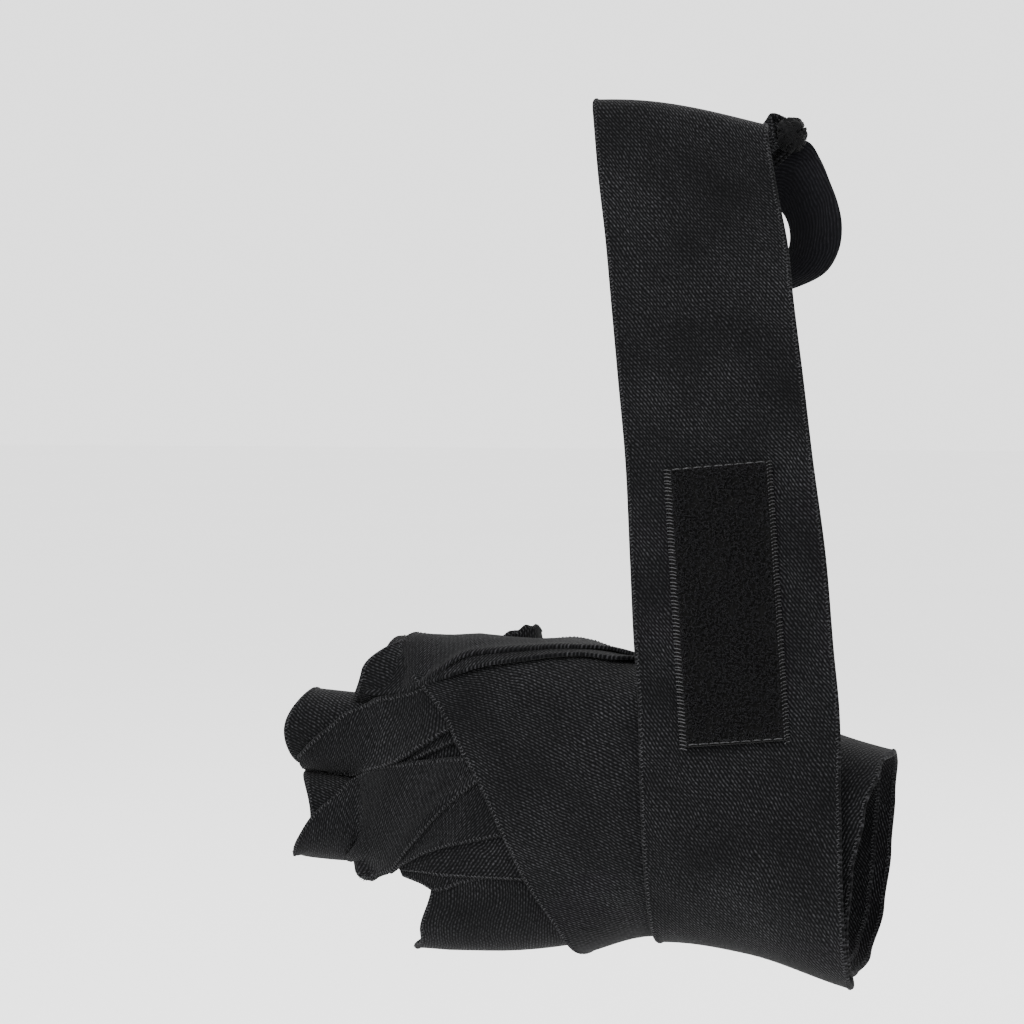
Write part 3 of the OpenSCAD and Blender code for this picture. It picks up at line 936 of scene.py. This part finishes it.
def hook_rows():
    """Rows of small hooks that stand on the ground and bend over at the top."""
    paths = []
    for x in np.arange(HOOK_X[0] + 1, HOOK_X[1] - 0.6, HOOK_STEP[0]):
        for z in np.arange(HOOK_Z[0] + 0.8, HOOK_Z[1] - 0.6, HOOK_STEP[1]):
            paths.append(TAIL_AT + [(x, 1.3, z), (x, 1.9, z), (x, 2.25, z + 0.18),
                                    (x, 2.2, z + 0.5), (x, 1.9, z + 0.58)])
    return tubes("hook_patch_hooks", paths, 0.1, HOOKS, sides=4)


def hook_seams():
    """Running stitches along the hook patch's two long sides."""
    paths = []
    for z in (HOOK_Z[0] + 0.3, HOOK_Z[1] - 0.3):
        for x in np.arange(HOOK_X[0] + 0.3, HOOK_X[1] - 2.2, SEAM_STEP):
            paths.append(TAIL_AT + [(x, 1.3, z), (x + 0.5, 1.6, z), (x + 1.3, 1.6, z),
                                    (x + 1.9, 1.3, z)])
    return tubes("hook_stitches_thread", paths, 0.17, STITCH)


add(hook_ground(), "tail", ("hook_patch",))
add(hook_rows(), "tail", ())
add(hook_seams(), "tail", ("hook_stitches",))

# ---- The knot ----

KNOT_AT = np.array([6.2, 26.4, 186.6])
KNOT_SIZE = np.array([3.5, 3.3, 4.5])
# Rings of the lumpy core, points in each, and the latitude of the last ones
KNOT_RINGS = 34
KNOT_POINTS = 56
KNOT_LAT = 1.45
WINDINGS = 26
WINDING_R = 0.24


def knot_core():
    """Vertices and faces of a lumpy ball."""
    lat, lon = np.meshgrid(np.linspace(-KNOT_LAT, KNOT_LAT, KNOT_RINGS),
                           np.linspace(0, TURN, KNOT_POINTS, endpoint=False), indexing="ij")
    ball = np.stack([np.cos(lat) * np.cos(lon), np.cos(lat) * np.sin(lon), np.sin(lat)], axis=-1)
    lumps = (1 + 0.1 * np.sin(7 * lon + 3 * lat) * np.cos(lat)
             + 0.12 * np.sin(3 * lon - 5 * lat + 1) * np.cos(lat))
    verts = (KNOT_AT + ball * lumps[..., None] * KNOT_SIZE).reshape(-1, 3)
    n = KNOT_POINTS
    faces = [(i * n + k, i * n + (k + 1) % n, (i + 1) * n + (k + 1) % n, (i + 1) * n + k)
             for i in range(KNOT_RINGS - 1) for k in range(n)]
    faces += [tuple(reversed(range(n))), tuple((KNOT_RINGS - 1) * n + k for k in range(n))]
    return verts, faces


def knot_windings():
    """Paths of the threads wound round the core at many tilts."""
    around = np.linspace(0, TURN, 40)
    paths = []
    for _ in range(WINDINGS):
        tilt = rng.uniform(-1.6, 1.6)
        level = rng.uniform(-0.6, 0.6)
        spread = math.sqrt(1 - level**2)
        ring = unit(np.stack([spread * np.cos(around), spread * np.sin(around),
                              level + tilt * spread * np.cos(around)], axis=1))
        size = 1 + 0.1 * np.sin(7 * around) * rng.uniform(0, 1) + 0.05
        paths.append(KNOT_AT + ring * size[:, None] * KNOT_SIZE)
    return paths


def knot():
    """The bartack that gathers the strip's end and holds the thumb loop."""
    verts, faces = knot_core()
    more, more_faces = tube_mesh(knot_windings(), WINDING_R, 5, len(verts))
    return make_object("knot", np.concatenate([verts, more]), faces + more_faces, materials=(KNOT,))


add(knot(), "tail", ("bartack",))

# ---- The thumb loop ----

# The loop's outline from the front, from the knot clockwise, and the middle and half size of its eye
LOOP_OUTER = [(10.2, 184.5), (13.2, 180), (15.6, 174.3), (17.6, 168.8), (18.6, 163.3), (17.9, 157.2),
              (15.0, 152), (8.2, 148.2), (-1, 146.2), (-10, 148), (-16.8, 153.2), (-19.2, 160.5),
              (-17.8, 168.4), (-12.8, 176), (-5.8, 181.8), (2.2, 185.2)]
EYE_AT = (-1.2, 160.4)
EYE_HALF = (7.2, 9.4)
# The eye's points start at this angle, so that each faces its point of the outline
EYE_START = 62
# The loop lies at LOOP_Y at this height, and leans forward above it by this much for each mm
LOOP_Y = 29.9
LOOP_LEAN = 0.04
LOOP_LEAN_Z = 175
DOME = 1.5


def loop_edges():
    """Outer and inner edge of the loop side by side, smooth and closed."""
    turns = [math.radians(EYE_START - 360 * k / len(LOOP_OUTER)) for k in range(len(LOOP_OUTER))]
    eye = [(EYE_AT[0] + EYE_HALF[0] * math.cos(t), EYE_AT[1] + EYE_HALF[1] * math.sin(t))
           for t in turns]
    edges = np.concatenate([LOOP_OUTER, eye], axis=1)
    # The curve runs a little past both ends, and the stretch between two passes of one point is kept
    dense = smooth_path(np.concatenate([edges[-3:], edges, edges[:4]]), np.linspace(0, 1, 400))
    start = int(np.argmin(np.linalg.norm(dense[:120] - edges[0], axis=1)))
    stop = 200 + int(np.argmin(np.linalg.norm(dense[200:] - edges[0], axis=1)))
    return dense[start:stop]


def thumb_loop():
    """The loop of ribbed tape, domed between its edges."""
    v = columns(24, 1.2)
    edges = loop_edges()
    xz = between(edges[:, :2], edges[:, 2:], v)
    dome = DOME * np.sin(math.pi * np.broadcast_to(v, xz.shape[:2])) ** 0.8
    y = LOOP_Y - dome + LOOP_LEAN * (LOOP_LEAN_Z - xz[..., 1])
    grid = np.stack([xz[..., 0], y, xz[..., 1]], axis=-1)
    normals = grid_normals(grid, ring=True)
    normals *= -np.sign(normals[..., 1:2])
    return cloth("thumb_loop_tape", grid, normals, ring=True, half=0.5, bead=0.05,
                 threads=(False, False), material=TAPE)


add(thumb_loop(), "loop", ("thumb_loop",))

# ---- A short turn round the root of the thumb, with an uneven edge ----

THUMB_AT = np.array([-62.5, 9.0, 46.2])
THUMB_DIR = np.array([-0.25, 0.1, 0.96])
THUMB_R = 8.2
THUMB_LEN = 11.0


def thumb_turn():
    """A ring round the thumb's root."""
    angle = np.linspace(0, TURN, 64, endpoint=False)
    a_side = unit(np.cross(THUMB_DIR, [0, 1, 0]))
    b_side = np.cross(THUMB_DIR, a_side)
    edge = THUMB_LEN + 0.5 * np.sin(3 * angle) + 0.35 * np.sin(11 * angle)
    grid = (THUMB_AT + THUMB_DIR * (edge[:, None] * columns(14))[..., None]
            + THUMB_R * (np.cos(angle)[:, None, None] * a_side
                         + np.sin(angle)[:, None, None] * b_side))
    out = grid - THUMB_AT
    out = unit(out - THUMB_DIR * (out @ THUMB_DIR)[..., None])
    return cloth("thumb_turn", grid, out, ring=True, twill=80)


on_hand(thumb_turn(), "thumb_pass")

# ---- Studio, in metres ----

FLOOR_Z = -0.16
FLOOR_HALF = 9.0
WORLD_STRENGTH = 2.2
TARGET = Vector((-0.060, -0.010, 0.090))
# Lights: place, size and power
LIGHTS = {
    "key": ((-0.7, -0.9, 1.1), 0.6, 30),
    "fill": ((1.7, -2.1, 1.2), 1.5, 16),
    "rim": ((0.3, 0.9, 0.9), 0.6, 8),
}
# The camera stands round from the front by this much, above the level by this much, and this far
AZIMUTH = math.radians(12)
ELEVATION = math.radians(3)
DISTANCE = 0.690
LENS = 96
SENSOR = 36


def floor():
    """A plain pale floor."""
    corners = [(-1, -1), (1, -1), (1, 1), (-1, 1)]
    obj = make_object("floor", [(x * FLOOR_HALF / MM, y * FLOOR_HALF / MM, FLOOR_Z / MM)
                                for x, y in corners], [(0, 1, 2, 3)])
    mat, tree, shader = new_material("floor", (0.9, 0.9, 0.9), 0.9)
    tint(tree, shader, noise(tree, object_coords(tree), 3.0), (0.93,) * 3, (0.96,) * 3)
    obj.data.materials.append(mat)
    return obj


def aim(obj, place):
    """Puts an object in the scene at a place, turned to face the target."""
    bpy.context.scene.collection.objects.link(obj)
    obj.location = place
    obj.rotation_euler = (TARGET - obj.location).to_track_quat("-Z", "Y").to_euler()


floor()

world = bpy.data.worlds.new("world")
world.use_nodes = True
world.node_tree.nodes["Background"].inputs[0].default_value = (1, 1, 1, 1)
world.node_tree.nodes["Background"].inputs[1].default_value = WORLD_STRENGTH
bpy.context.scene.world = world

for light_name, (light_place, light_size, power) in LIGHTS.items():
    light = bpy.data.lights.new(light_name, "AREA")
    light.size = light_size
    light.energy = power
    aim(bpy.data.objects.new(light_name, light), light_place)

camera_data = bpy.data.cameras.new("camera")
camera_data.lens = LENS
camera_data.sensor_width = SENSOR
camera = bpy.data.objects.new("camera", camera_data)
away = Vector((math.sin(AZIMUTH) * math.cos(ELEVATION),
               -math.cos(AZIMUTH) * math.cos(ELEVATION), math.sin(ELEVATION)))
aim(camera, TARGET + away * DISTANCE)
bpy.context.scene.camera = camera
